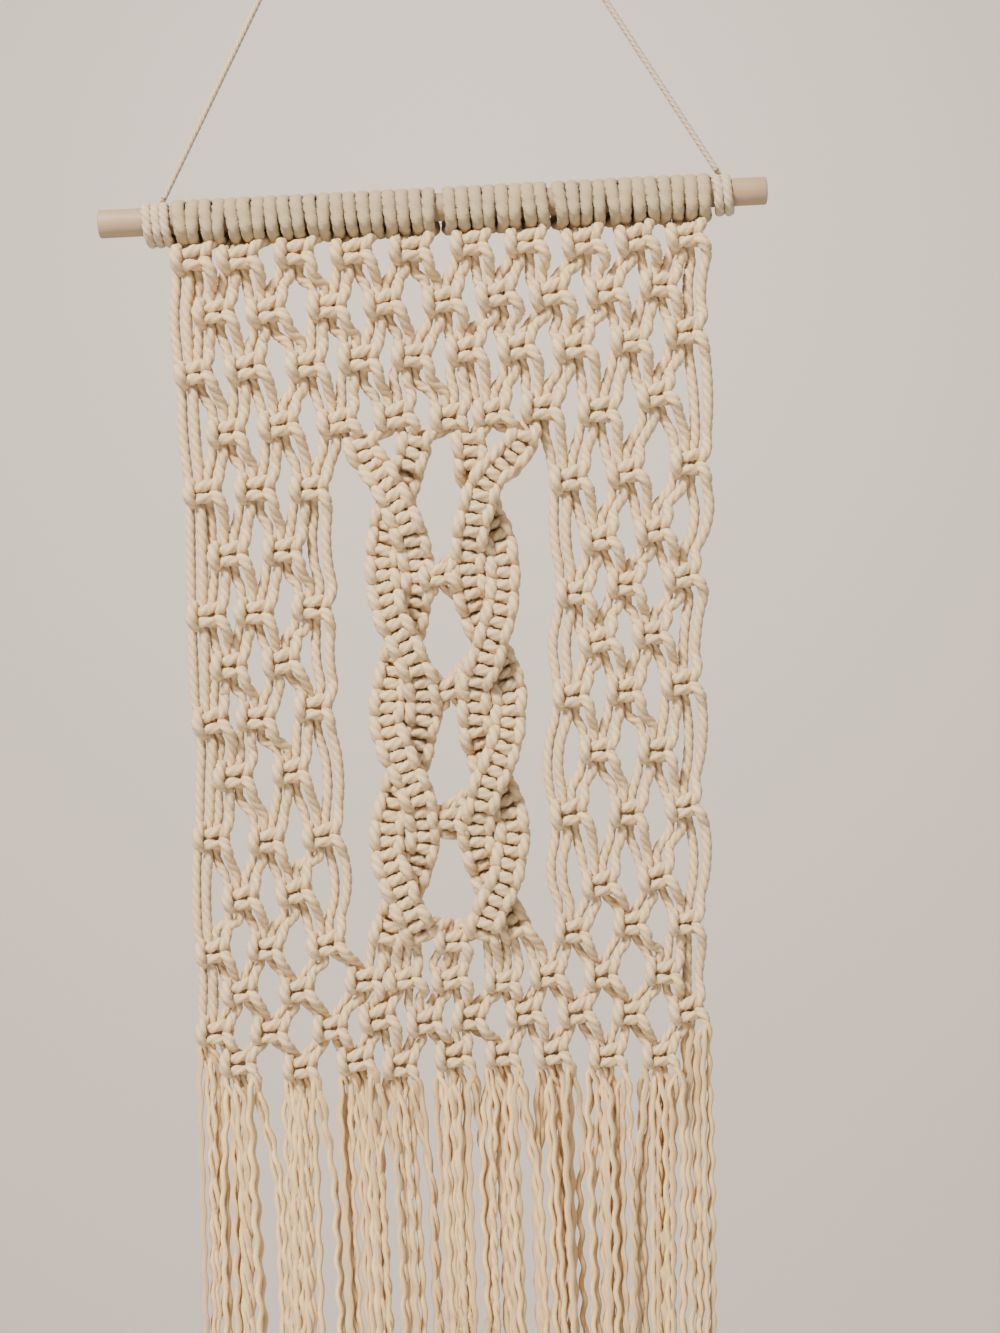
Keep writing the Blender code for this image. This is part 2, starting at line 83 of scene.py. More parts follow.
# ------------------------------------------------------------ the knot chart
# (row, first strand, ((x, drop) of each knot of this run)).  Strands are
# numbered from 0 on the left.
CHART = (
    (1, 0, ((-111, 18.7), (-89.7, 19.6), (-64, 18.3), (-38, 19.6), (-11.5, 19.7), (16, 18.4),
            (41, 18.8), (67, 20.4), (91, 19.9), (114, 19.9))),
    (2, 2, ((-102, 43.7), (-78, 44.3), (-50.2, 43.5), (-24.8, 43.3), (2.3, 43.5), (27, 42),
            (51.2, 42.8), (76.2, 43), (101, 41.5))),
    (3, 0, ((-112.5, 71), (-88.7, 69.7), (-61.2, 69.8), (-37, 68.2), (-13, 68), (11.4, 66.5),
            (35, 66.5), (60.5, 67.7), (86.5, 66.2), (111.5, 63.5))),
    (4, 2, ((-99, 98.6), (-75, 96.4), (-48.2, 96.4), (-22.2, 95), (2.5, 96.8), (22, 95.5),
            (44.6, 94.5), (70.6, 97), (97, 91.5))),
    (5, 0, ((-111, 125.3), (-87.2, 124.9), (-62.6, 126.1))),
    (5, 28, ((55.8, 127.6), (81.4, 125.7), (110.5, 122.9))),
    (6, 2, ((-101, 154.3), (-76.2, 153.5))),
    (6, 30, ((68, 155.6), (92.8, 152.9))),
    (7, 0, ((-112.2, 181.4), (-90.5, 181.1), (-64.2, 180.1))),
    (7, 28, ((55.5, 179.5), (78.6, 176.5), (104.7, 174.5))),
    (8, 2, ((-103.1, 204.9), (-79.2, 204.1))),
    (8, 30, ((65, 201.8), (89.5, 199.5))),
    (9, 0, ((-112.7, 229.8), (-92.1, 228.9), (-65.7, 225.5))),
    (9, 28, ((51.9, 225.9), (76.1, 224.9), (101.5, 223))),
    (10, 2, ((-103.6, 255), (-77.5, 254))),
    (10, 30, ((62.5, 251.5), (89, 252.6))),
    (11, 0, ((-115.1, 282.4), (-90.3, 285.1), (-64.9, 284.1))),
    (11, 28, ((48, 279.7), (74.4, 280.6), (99.9, 279.1))),
    (12, 2, ((-103.1, 310.6), (-78.7, 308.9))),
    (12, 30, ((60.5, 312.5), (86, 310.5))),
    (13, 0, ((-117.1, 334.5), (-93.2, 333.9), (-65.3, 333.5))),
    (13, 18, ((-8, 335),)),
    (13, 28, ((46.7, 333.1), (73.5, 331.1), (98, 332))),
    (14, 2, ((-105.6, 353), (-79.5, 353.9), (-49.1, 350.6), (-31, 351), (-10, 352), (13.7, 354.5),
             (34.5, 352.5), (59, 354), (86.9, 354))),
    (15, 0, ((-118, 370.9), (-93.1, 371.8), (-65.6, 371.8), (-43.5, 367.9), (-22.4, 371), (-2, 370),
             (23, 369.3), (46.5, 370), (71, 371.9), (97, 371.5))),
    (16, 2, ((-108, 385.4), (-80, 388.6), (-54.8, 387), (-34.6, 390), (-10, 387), (12, 387.4),
             (34.5, 387.9), (59.5, 390.5), (83.5, 391.4))),
)
KNOT_STRANDS = 4
HEM_ROW = 15                  # this row and the next go with the fringe
CROWDED = ((13, 18), (14, 14), (14, 18), (14, 22))      # knots squeezed by their neighbours
CROWDED_HEIGHT = .85
FIRST_RISE = 7.0              # above this, a first-row knot's strands come from the heading
JOIN_GAP = 2.0                # in drop, between what a strand does at one knot and the next
SKIPPED = 40.0                # a strand that comes from this far up has skipped a row
SKIP_POINTS = (0.3, 0.7)      # where it bows, as shares of its way
# A pair of strands at a strip's edge skips every other row, and bows sideways
# there: by its first strand, how far as it comes to rows 3, 5, 7 ... 15.
EDGE_BOWS = {
    0: (-.8, -.4, .2, .2, -.2, -.4, 0),
    10: (0, 0, -1.5, -1.2, 1.9, 2.3, 0),
    28: (0, 0, -1.2, -1.4, -2.2, -2.8, 0),
    38: (-.6, .8, 3.2, -.5, 1.4, 1.8, 4.0),
}

# The paths of a knot's two workers and two fillers, from its middle:
# (x, depth, rise, thickness).  The left worker makes both bars in front of the
# fillers.  The right one comes forward on the left as a bump, and leaves on the
# right over the lower bar's end.
LEFT_WORKER = (
    (-8.5, 1.2, 10.8, .96), (-8.7, 1.5, 7.8, .92), (-7.3, .2, 4.6, .84), (-4.4, -3.3, 1.7, .9),
    (0, -5.0, 2.75, 1.06), (4.0, -4.2, 4.6, 1.0), (7.0, -1.0, 4.6, .86), (7.9, 1.0, .4, .8),
    (6.9, -1.0, -3.2, .84), (4.0, -4.3, -2.6, .96), (0, -5.1, -2.6, 1.06), (-4.4, -3.5, -3.3, .98),
    (-6.9, .2, -4.6, .84), (-8.2, 1.4, -7.6, .92), (-8.2, 1.0, -11.0, .96))
RIGHT_WORKER = (
    (9.0, .2, 11.4, 1), (9.4, -2.6, 8.4, 1), (8.7, -5.4, 5.4, 1.02), (7.2, -5.4, 2.5, .96),
    (5.0, -1.0, 1.2, .8), (4.4, 2.8, 1.3, .8), (2.2, 5.2, 2.0, .82), (-.6, 5.3, 3.2, .82),
    (-3.6, 4.2, 4.4, .82), (-5.5, .8, 5.2, .88), (-6.8, -3.2, 4.9, 1.0), (-7.3, -6.1, 2.8, 1.12),
    (-7.4, -6.9, -.2, 1.18), (-7.0, -6.1, -3.1, 1.12), (-5.8, -2.8, -5.0, .96), (-4.4, 1.6, -5.4, .84),
    (-2.4, 4.5, -4.6, .82), (.4, 5.3, -3.6, .82), (3.0, 4.4, -2.3, .82), (4.8, 1.0, -1.3, .82),
    (5.7, -3.0, -.7, .94), (7.4, -6.1, -1.4, 1.06), (9.9, -6.0, -5.0, 1.12), (10.8, -3.4, -9.4, 1.04))
LEFT_FILLER = ((-2.2, .7, 11.0, 1), (-2.5, 0, 5.5, .9), (-2.4, -.9, 0, 1.06), (-2.3, 0, -5.5, .88),
               (-1.7, -1.6, -8.2, .98), (-1.6, -1.8, -10.6, 1))
RIGHT_FILLER = ((2.6, 1.2, 11.0, 1), (2.3, .2, 5.5, .88), (2.3, -.7, 0, 1.04), (2.4, .6, -5.5, .88),
                (3.0, 1.8, -10.6, .96))
KNOT = (LEFT_WORKER, LEFT_FILLER, RIGHT_FILLER, RIGHT_WORKER)
KNOT_UNEVEN = .18             # how far its points stray sideways and in height

# ---------------------------------------------------------------- the sennits
SENNIT_ROW = 4.5              # they are knotted after row 4
SENNIT_TOP = 104.0
SENNIT_BOTTOM = 335.0
SENNIT_PITCH = 11.4           # knot to knot
SENNIT_DEPTH = 5.8            # how far two sennits lie apart where they cross, halved
LAYER_FADE = (4.8, 8.8)       # wholly so when this near to the middle, and level when this far
OPEN_BELOW = 6.0              # a pair would stand widest this far below its bottom
LINE_STEP = 0.5               # from point to point of a sennit's middle line
LINE_REACH = 2.0              # how far off its direction is taken
SENNIT_CORD = 1.1             # their cords lie slack and full, not drawn thin
# They hang in two pairs.  "top" and "bottom" are the x between a pair's ends,
# and each crossing is (x, drop) where its two sennits change sides.
PAIRS = {
    "left": dict(top=-25.3, bottom=-31.0,
                 crossings=((-23.5, 133), (-23.1, 197), (-24.8, 257), (-28.8, 313))),
    "right": dict(top=23.6, bottom=13.0,
                  crossings=((15.1, 133), (16.3, 201), (14.2, 260), (13.2, 315))),
}
SENNITS = (
    dict(first=12, pair="left", side=-1, outside=True),
    dict(first=16, pair="left", side=1, outside=False),
    dict(first=20, pair="right", side=-1, outside=False),
    dict(first=24, pair="right", side=1, outside=True),
)
HALF_APART = dict(top=12.6, way=8.3, bottom=9.0)       # of a pair, from its middle to each
# One knot of a sennit, from the middle between it and the one above down to
# the middle between it and the next, drawn this high and fitted to the pitch.
SENNIT_DRAWN = 10.2
SENNIT_LEFT = (
    (-5.8, .8, 5.1, .82), (-5.2, -1.4, 3.2, .84), (-3.2, -4.3, 2.3, .9), (0, -5.1, 2.5, .94),
    (3.3, -4.3, 2.9, .9), (5.4, -1.1, 2.3, .82), (6.0, .9, 0, .8), (5.4, -1.1, -2.3, .82),
    (3.3, -4.4, -2.7, .9), (0, -5.1, -2.5, .94), (-3.2, -4.3, -2.3, .9), (-5.2, -1.4, -3.2, .84))
SENNIT_RIGHT = (
    (5.6, -5.4, 5.1, .98), (5.3, -4.8, 2.5, .92), (4.8, -1.4, 1.0, .82), (4.2, 2.2, 1.0, .8),
    (2.2, 4.8, 1.5, .82), (-.4, 5.2, 2.4, .82), (-3.2, 4.2, 3.5, .82), (-4.9, 1.2, 4.3, .82),
    (-5.5, -2.4, 4.3, .9), (-5.8, -5.5, 2.8, .98), (-5.9, -6.2, 0, 1.02), (-5.7, -5.5, -2.8, .98),
    (-5.1, -2.4, -4.3, .88), (-4.0, 1.4, -4.2, .82), (-2.3, 4.6, -3.2, .82), (.2, 5.2, -2.3, .82),
    (2.6, 4.4, -1.6, .82), (4.2, 1.2, -1.0, .82), (4.8, -2.0, -1.0, .88), (5.4, -4.9, -2.5, .95))
SENNIT_FILLERS = (((-1.9, 0, 5.1, .8), (-1.9, 0, 0, .8)), ((1.9, .2, 5.1, .8), (1.9, .2, 0, .8)))
SENNIT_KNOT = (SENNIT_LEFT, *SENNIT_FILLERS, SENNIT_RIGHT)
# Where a knot ties the two inner sennits together: (x, drop).
TIES = ((-6.5, 168.5), (-4.6, 220.3), (-8.1, 279.2))
TIE_REACH = 11.5              # how far its ends run aside, into the sennits
TIE_SIZE = .84                # share of a knot's size
TIE_CORD = .86                # and of the cord's
TIE_DEPTH = -1.5              # it stands in front of them
TIE_BEND = (.6, 1.5)          # its ends turn back at this share of their reach, at this depth
TIE_END = (4.0, 3.5)          # and end at this depth, this far above or below
TIE_TAPER = .5


def smooth(t):
    """0 to 1 with soft ends, of a number or an array."""
    t = np.clip(t, 0.0, 1.0)
    return t * t * (3 - 2 * t)


def distances(places):
    """How far along its curve each place lies."""
    return np.concatenate(([0], np.cumsum(np.linalg.norm(np.diff(places, axis=0), axis=1))))


def pressed(points):
    """Chart points with what lies on the dowel pulled flat against it."""
    points = points.copy()
    out = np.maximum(1e-6, np.hypot(points[:, 1], points[:, 2]))
    near = smooth((PRESS_FADE[1] - points[:, 2]) / (PRESS_FADE[1] - PRESS_FADE[0]))
    share = 1 - (1 - PRESS) * near
    flat = np.where(out > PRESS_RADIUS, PRESS_RADIUS + (out - PRESS_RADIUS) * share, out)
    flat = np.where(out > PRESS_REACH, out, flat)
    points[:, 1:3] *= (flat / out)[:, None]
    return points


def world(points):
    """Chart points (x, depth, drop) in metres."""
    return np.column_stack((points[:, 0], points[:, 1], -(DOWEL_DROP + points[:, 2]))) * MM


# ------------------------------------------------------------------ cord mesh
CURVE_SAMPLES = 12            # between two points of a path
SOFTENINGS = 2                # passes that round a path's corners
FRONT = (0.0, -1.0, 0.0)      # where a section's first corner points at a cord's start


def resample(points, step):
    """Rows every step along a smooth curve through the rows of points.  The
    first three columns are the place, and any others go along."""
    points = np.asarray(points, float)
    ends = np.vstack((2 * points[0] - points[1], points, 2 * points[-1] - points[-2]))
    fine = []
    for k in range(1, len(ends) - 2):
        p0, p1, p2, p3 = ends[k - 1:k + 3]
        knots = [0.0]
        for a, b in ((p0, p1), (p1, p2), (p2, p3)):
            knots.append(knots[-1] + max(1e-3, np.linalg.norm((b - a)[:3])) ** 0.5)
        t0, t1, t2, t3 = knots
        t = np.linspace(t1, t2, CURVE_SAMPLES, endpoint=False)[:, None]
        a1 = (t1 - t) / (t1 - t0) * p0 + (t - t0) / (t1 - t0) * p1
        a2 = (t2 - t) / (t2 - t1) * p1 + (t - t1) / (t2 - t1) * p2
        a3 = (t3 - t) / (t3 - t2) * p2 + (t - t2) / (t3 - t2) * p3
        b1 = (t2 - t) / (t2 - t0) * a1 + (t - t0) / (t2 - t0) * a2
        b2 = (t3 - t) / (t3 - t1) * a2 + (t - t1) / (t3 - t1) * a3
        fine.append((t2 - t) / (t2 - t1) * b1 + (t - t1) / (t2 - t1) * b2)
    fine = np.vstack(fine + [points[-1:]])
    walked = distances(fine[:, :3])
    count = max(2, round(walked[-1] / step))
    goals = np.linspace(0, walked[-1], count + 1)
    rows = np.column_stack([np.interp(goals, walked, column) for column in fine.T])
    for _ in range(SOFTENINGS):
        rows[1:-1, :3] = (rows[:-2, :3] + 2 * rows[1:-1, :3] + rows[2:, :3]) / 4
    return rows


def frames(places, start=FRONT):
    """Two unit vectors across the curve at each place, carried along without twist."""
    tangents = np.gradient(places, axis=0)
    tangents /= np.linalg.norm(tangents, axis=1)[:, None]
    normal = np.array(start)
    normals = np.empty_like(places)
    for k, t in enumerate(tangents):
        normal = normal - t * normal.dot(t)
        normal /= np.linalg.norm(normal)
        normals[k] = normal
    return normals, np.cross(tangents, normals)


class Bundle:
    """The mesh of one piece: closed tubes, with a texture coordinate along and
    round each, and a tint of its own."""

    def __init__(self):
        self.points = []
        self.faces = []       # (quads, their corners' coordinates, tint, smooth)
        self.count = 0

    def tube(self, places, across, up, radii, outline, turns, walked=None, tint=0.0, lobes=1.0):
        """outline is the section's radius round it.  At each place, turns is its
        angle, walked how far along its cord it is, and lobes how much of the
        outline shows."""
        n = len(places)
        sides = len(outline)
        angle = turns[:, None] + (np.arange(sides) * 2 * math.pi / sides)[None, :]
        shown = (np.asarray(outline)[None, :] - 1) * (np.ones(n) * lobes)[:, None]
        r = radii[:, None] * (1 + shown)
        ring = (places[:, None, :] + (r * np.cos(angle))[:, :, None] * across[:, None, :]
                + (r * np.sin(angle))[:, :, None] * up[:, None, :])
        index = self.count + np.arange(n * sides).reshape(n, sides)
        self.points.append(ring.reshape(-1, 3))
        self.count += n * sides
        a, b = index[:-1], index[1:]
        quads = np.stack((a, b, np.roll(b, -1, 1), np.roll(a, -1, 1)), -1).reshape(-1, 4)
        walked = distances(places) if walked is None else walked
        u = np.repeat(walked[:, None], sides + 1, 1)
        v = np.repeat(np.arange(sides + 1)[None, :] / sides, n, 0)
        uv = np.stack((u, v), -1)
        corners = np.stack((uv[:-1, :-1], uv[1:, :-1], uv[1:, 1:], uv[:-1, 1:]), 2).reshape(-1, 2)
        self.faces.append((quads, corners, tint, True))
        self.cap(index[0], tint)
        self.cap(index[-1][::-1], tint)

    def cap(self, row, tint):
        """Flat quads that close a tube's end."""
        m = len(row)
        quads = [(row[k], row[k + 1], row[m - 2 - k], row[m - 1 - k]) for k in range(m // 2 - 1)]
        self.faces.append((np.array(quads), np.zeros((len(quads) * 4, 2)), tint, False))

    def build(self, name, material, slot, node, tight=False):
        """The piece that stands for a node.  What is tight is pressed on the dowel."""
        points = np.vstack(self.points)
        points = world(pressed(points) if tight else points)
        quads = np.vstack([face[0] for face in self.faces])
        corners = np.vstack([face[1] for face in self.faces])
        tints = np.concatenate([np.full(len(face[0]) * 4, face[2]) for face in self.faces])
        smooth_faces = np.concatenate([np.full(len(face[0]), face[3]) for face in self.faces])
        mesh = bpy.data.meshes.new(name)
        mesh.vertices.add(len(points))
        mesh.vertices.foreach_set("co", points.ravel())
        mesh.loops.add(quads.size)
        mesh.loops.foreach_set("vertex_index", quads.ravel())
        mesh.polygons.add(len(quads))
        mesh.polygons.foreach_set("loop_start", np.arange(0, quads.size, 4))
        mesh.update(calc_edges=True)
        mesh.uv_layers.new(name="along").data.foreach_set("uv", corners.ravel())
        mesh.attributes.new("tint", "FLOAT", "CORNER").data.foreach_set("value", tints)
        mesh.polygons.foreach_set("use_smooth", smooth_faces)
        mesh.validate()
        return finish_piece(name, mesh, material, node)


def finish_piece(name, mesh, material, node):
    mesh.materials.append(material)
    piece = bpy.data.objects.new(name, mesh)
    bpy.context.scene.collection.objects.link(piece)
    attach(piece, "root")
    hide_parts(node)
    return piece


def cord_rings(path, radius=CORD_RADIUS, lay=LAY, step=STEP, phase=0.0, start=FRONT):
    """Places, frames, radii and turns of a laid cord along path: (x, depth, drop, thickness)."""
    rows = resample(path, step)
    places = rows[:, :3]
    across, up = frames(places, start)
    walked = distances(places)
    return dict(places=places, across=across, up=up, radii=radius * rows[:, 3],
                turns=phase + 2 * math.pi * walked / lay, walked=walked, lobes=np.ones(len(places)))


def add_cord(bundle, rings, first=0, last=None, tint=0.0):
    """The stretch of a cord from its ring first up to its ring last."""
    bundle.tube(outline=CORD_SECTION, tint=tint, **{key: rows[first:last] for key, rows in rings.items()})


# ------------------------------------------------------------- strands' paths
def knot_points(shape, x, y, drop, lean, width, height, noise):
    """One strand's path through a knot at its place, turned by lean."""
    c, s = math.cos(lean), math.sin(lean)
    points = []
    for lx, ly, rise, thick in shape:
        lx = lx * width + noise.uniform(-KNOT_UNEVEN, KNOT_UNEVEN)
        rise = rise * height + noise.uniform(-KNOT_UNEVEN, KNOT_UNEVEN)
        points.append((x + lx * c - rise * s, y + ly, drop - rise * c - lx * s, thick))
    return points


def sennit_place(sennit, drop):
    """(x, depth) of a sennit's middle line at a drop."""
    pair = PAIRS[sennit["pair"]]
    crossings = pair["crossings"]
    half = HALF_APART["way"]
    if drop <= crossings[0][1]:
        x, first = crossings[0]
        t = (first - drop) / (first - SENNIT_TOP)
        phase = -0.5 * t
        half += (HALF_APART["top"] - half) * smooth(t)
        x += (pair["top"] - x) * smooth(t)
    elif drop < crossings[-1][1]:
        n = max(i for i, crossing in enumerate(crossings) if crossing[1] < drop)
        (xa, da), (xb, db) = crossings[n:n + 2]
        t = (drop - da) / (db - da)
        phase = n + t
        x = xa + (xb - xa) * t
    else:
        x, last = crossings[-1]
        t = (drop - last) / (SENNIT_BOTTOM + OPEN_BELOW - last)
        phase = len(crossings) - 1 + 0.5 * t
        half = HALF_APART["bottom"]
        x += (pair["bottom"] - x) * t
    aside = -half * sennit["side"] * math.sin(math.pi * phase)
    layer = smooth((LAYER_FADE[1] - abs(aside)) / (LAYER_FADE[1] - LAYER_FADE[0]))
    before = (round(phase) % 2 == 0) == sennit["outside"]
    return x + aside, (-1 if before else 1) * SENNIT_DEPTH * layer


def sennit_points(sennit, noise):
    """The four strands' paths through a sennit."""
    drops = np.arange(SENNIT_TOP, SENNIT_BOTTOM + LINE_STEP / 2, LINE_STEP)
    line = np.array([(*sennit_place(sennit, drop), drop) for drop in drops])
    walked = distances(line[:, ::2])
    count = round(walked[-1] / SENNIT_PITCH)
    pitch = walked[-1] / count
    paths = [[] for _ in SENNIT_KNOT]

    def at(s):
        """(x, depth, drop) this far along the middle line."""
        return [np.interp(s, walked, column) for column in line.T]

    for k in range(count):
        middle = (k + 0.5) * pitch
        wide = noise.uniform(.92, 1.07)
        tilt = noise.uniform(-.14, .14)
        aside = noise.uniform(-.6, .6)
        for path, shape in zip(paths, SENNIT_KNOT):
            for lx, ly, rise, thick in shape:
                s = middle - rise * pitch / SENNIT_DRAWN - lx * tilt
                x, y, drop = at(s)
                xa, _, da = at(s - LINE_REACH)
                xb, _, db = at(s + LINE_REACH)
                way = Vector((xb - xa, db - da)).normalized()
                lx = lx * wide + aside + noise.uniform(-.15, .15)
                full = SENNIT_CORD / np.interp(drop, *SLIMMER)
                path.append((x + lx * way.y, y + ly, drop - lx * way.x, thick * full))
    return paths


def head_middle(head):
    """x of a lark's head."""
    shown = sum(wide for after, wide in HEAD_GAPS if head >= after)
    return HEADING[0] + (head + 0.5) * HEAD_PITCH + shown


def skip_points(above, below, strand, row, noise):
    """Where a strand that skips a row bows between the points above and below."""
    bow = EDGE_BOWS[strand - strand % 2][row // 2 - 1] + noise.uniform(-.4, .4)
    points = []
    for share in SKIP_POINTS:
        x, y, drop = [a + (b - a) * share for a, b in zip(above[:3], below[:3])]
        points.append((x + bow, y + noise.uniform(-.6, .6), drop, 1))
    return points


def strand_paths():
    """For each strand its path below the heading, and where the hem starts."""
    noise = random.Random(11)
    paths = []
    for s in range(STRANDS):
        x = head_middle(s // 2) + (STRAND_ASIDE if s % 2 else -STRAND_ASIDE)
        paths.append([(x, *place) for place in BELOW_HEAD])
    hem = [None] * STRANDS
    above = [None] * STRANDS              # the drop of the knot that a strand comes from
    work = [(row, first + KNOT_STRANDS * k, place)
            for row, first, places in CHART for k, place in enumerate(places)]
    work += [(SENNIT_ROW, sennit["first"], sennit) for sennit in SENNITS]
    for row, first, knot in sorted(work, key=lambda item: item[:2]):
        if row == SENNIT_ROW:
            for s, points in enumerate(sennit_points(knot, noise), first):
                while paths[s][-1][2] > points[0][2] - JOIN_GAP:
                    paths[s].pop()
                paths[s] += points
                above[s] = None
            continue
        x, drop = knot
        lean = noise.uniform(-.17, .12)
        width = noise.uniform(.94, 1.07) * np.interp(drop, *KNOT_WIDTH)
        height = noise.uniform(.9, 1.05) * (CROWDED_HEIGHT if (row, first) in CROWDED else 1)
        depth = noise.uniform(-.5, .5)
        for slot, shape in enumerate(KNOT):
            s = first + slot
            points = knot_points(shape, x, depth, drop, lean, width, height, noise)
            if row == 1:
                points = [point for point in points if drop - point[2] < FIRST_RISE]
            if above[s] is not None:
                if drop - above[s] > SKIPPED:
                    paths[s] += skip_points(paths[s][-1], points[0], s, row, noise)
                while len(points) > 3 and points[0][2] < paths[s][-1][2] + JOIN_GAP:
                    paths[s].pop()
                    points.pop(0)
            if row == HEM_ROW:            # hidden in the knot, or where it is furthest back
                hem[s] = points[len(points) // 2]
                if shape is RIGHT_WORKER:
                    hem[s] = max(points, key=lambda point: point[1])
            paths[s] += points
            above[s] = drop
    paths = [[(x, y, drop, thick * np.interp(drop, *SLIMMER)) for x, y, drop, thick in path]
             for path in paths]
    return paths, hem


PATHS, HEM = strand_paths()


# ------------------------------------------------------------------ materials
def nodes_of(material):
    material.use_nodes = True
    tree = material.node_tree
    return tree, tree.nodes["Principled BSDF"]


def add_node(tree, kind, **settings):
    node = tree.nodes.new(kind)
    for key, value in settings.items():
        if key in node.inputs:
            node.inputs[key].default_value = value
        else:
            setattr(node, key, value)
    return node


def feed(tree, socket, value):
    """Set a socket to a number or a colour, or link it."""
    if isinstance(value, (int, float)):
        socket.default_value = value
    elif isinstance(value, tuple):
        socket.default_value = (*value, 1)
    else:
        tree.links.new(value, socket)


def maths(tree, operation, a, b=None):
    node = add_node(tree, "ShaderNodeMath", operation=operation)
    feed(tree, node.inputs[0], a)
    if b is not None:
        feed(tree, node.inputs[1], b)
    return node.outputs[0]


def over(tree, value, level, strength):
    """How far value is over level, times strength."""
    return maths(tree, "MULTIPLY", maths(tree, "SUBTRACT", value, level), strength)


def blend_colours(tree, factor, a, b):
    node = add_node(tree, "ShaderNodeMix", data_type="RGBA")
    for socket, value in ((node.inputs[0], factor), (node.inputs[6], a), (node.inputs[7], b)):
        feed(tree, socket, value)
    return node.outputs[2]


def noise_at(tree, vector, **settings):
    node = add_node(tree, "ShaderNodeTexNoise", **settings)
    tree.links.new(vector, node.inputs["Vector"])
    return node.outputs["Fac"]


def scaled(tree, vector, scale):
    node = add_node(tree, "ShaderNodeMapping", Scale=scale)
    tree.links.new(vector, node.inputs["Vector"])
    return node.outputs[0]


def raise_surface(tree, shader, height, strength, distance):
    bump = add_node(tree, "ShaderNodeBump", Strength=strength, Distance=distance)
    tree.links.new(height, bump.inputs["Height"])
    tree.links.new(bump.outputs[0], shader.inputs["Normal"])


FIBRES_ROUND = 9.0            # how fast the fibres' noise goes round a cord
FIBRES_ALONG = 0.12           # and along it
TINT_SHIFT = 40.0             # moves each cord to fibres of its own
FUZZ = 0.35                   # share of fine fuzz in the surface, beside the fibres
GROOVE_SHADE_LEVEL = 0.2            # where a groove's shade starts between two plies
GROOVE_SHADE_STRENGTH = 0.5


def cotton(name, light, warm, dark_fibre_and_shade, plies, fibre_pitch, uneven, grain=0.5):
    """Soft cotton: fibres wound against the lay, with painted shade darkening the grooves between the plies.
    """
    material = bpy.data.materials.new(name)
    tree, shader = nodes_of(material)
    place = add_node(tree, "ShaderNodeTexCoord").outputs["Object"]
    tint = add_node(tree, "ShaderNodeAttribute", attribute_name="tint").outputs["Fac"]
    uv = add_node(tree, "ShaderNodeUVMap", uv_map="along")
    split = add_node(tree, "ShaderNodeSeparateXYZ")
    tree.links.new(uv.outputs[0], split.inputs[0])
    along, around, _ = split.outputs

    # Fibres are noise drawn out along each ply.
    slant = maths(tree, "ADD", maths(tree, "MULTIPLY", around, FIBRES_ROUND),
                  maths(tree, "MULTIPLY", along, fibre_pitch))
    fibre_place = add_node(tree, "ShaderNodeCombineXYZ")
    feed(tree, fibre_place.inputs[0], slant)
    feed(tree, fibre_place.inputs[1], maths(tree, "MULTIPLY", along, FIBRES_ALONG))
    feed(tree, fibre_place.inputs[2], maths(tree, "MULTIPLY", tint, TINT_SHIFT))
    fibres = noise_at(tree, fibre_place.outputs[0], Scale=2.2, Detail=3.0, Roughness=0.65)

    # Broad and small patches, fibres and each cord's own tint darken its colour, and painted shade darkens
    # the grooves.
    broad = noise_at(tree, place, Scale=7.0, Detail=1.0)
    patches = noise_at(tree, place, Scale=38.0, Detail=3.0, Roughness=0.6)
    colour = blend_colours(tree, broad, light, warm)
    colour = blend_colours(tree, over(tree, patches, level=0.35, strength=0.35), colour, dark_fibre_and_shade)
    colour = blend_colours(tree, over(tree, fibres, level=0.38, strength=grain), colour, dark_fibre_and_shade)
    colour = blend_colours(tree, maths(tree, "MULTIPLY", tint, uneven), colour, dark_fibre_and_shade)
    # Painted shade: the colour darkens towards the dark colour in the grooves between the plies, where shade
    # falls.
    if plies:
        wave = maths(tree, "COSINE", maths(tree, "MULTIPLY", around, 2 * math.pi * plies))
        painted_groove_shade = maths(tree, "SUBTRACT", GROOVE_SHADE_LEVEL, wave)
        painted_groove_shade = maths(tree, "MAXIMUM", maths(tree, "MULTIPLY", painted_groove_shade, GROOVE_SHADE_STRENGTH), 0.0)
        colour = blend_colours(tree, painted_groove_shade, colour, dark_fibre_and_shade)
    tree.links.new(colour, shader.inputs["Base Color"])

    fine = noise_at(tree, place, Scale=900.0, Detail=2.0)
    height = maths(tree, "ADD", fibres, maths(tree, "MULTIPLY", fine, FUZZ))
    raise_surface(tree, shader, height, strength=0.75, distance=0.0006)
    shader.inputs["Roughness"].default_value = 0.95
    shader.inputs["Specular IOR Level"].default_value = 0.1
    shader.inputs["Sheen Weight"].default_value = 0.1
    shader.inputs["Sheen Roughness"].default_value = 0.6
    return material


def wood():
    """Pale birch with fine grain along the dowel."""
    material = bpy.data.materials.new("pale_wood")
    tree, shader = nodes_of(material)
    place = add_node(tree, "ShaderNodeTexCoord").outputs["Object"]
    grain_place = scaled(tree, place, (14.0, 520.0, 520.0))
    grain = noise_at(tree, grain_place, Scale=1.0, Detail=4.0, Roughness=0.6)
    bands = noise_at(tree, scaled(tree, place, (5.0, 90.0, 90.0)), Scale=1.0, Detail=2.0)
    colour = blend_colours(tree, bands, (0.385, 0.26, 0.145), (0.33, 0.215, 0.117))
    lines = maths(tree, "MAXIMUM", over(tree, grain, level=0.45, strength=1.4), 0.0)
    colour = blend_colours(tree, lines, colour, (0.265, 0.165, 0.09))
    tree.links.new(colour, shader.inputs["Base Color"])
    raise_surface(tree, shader, grain, strength=0.3, distance=0.0003)
    shader.inputs["Roughness"].default_value = 0.6
    return material
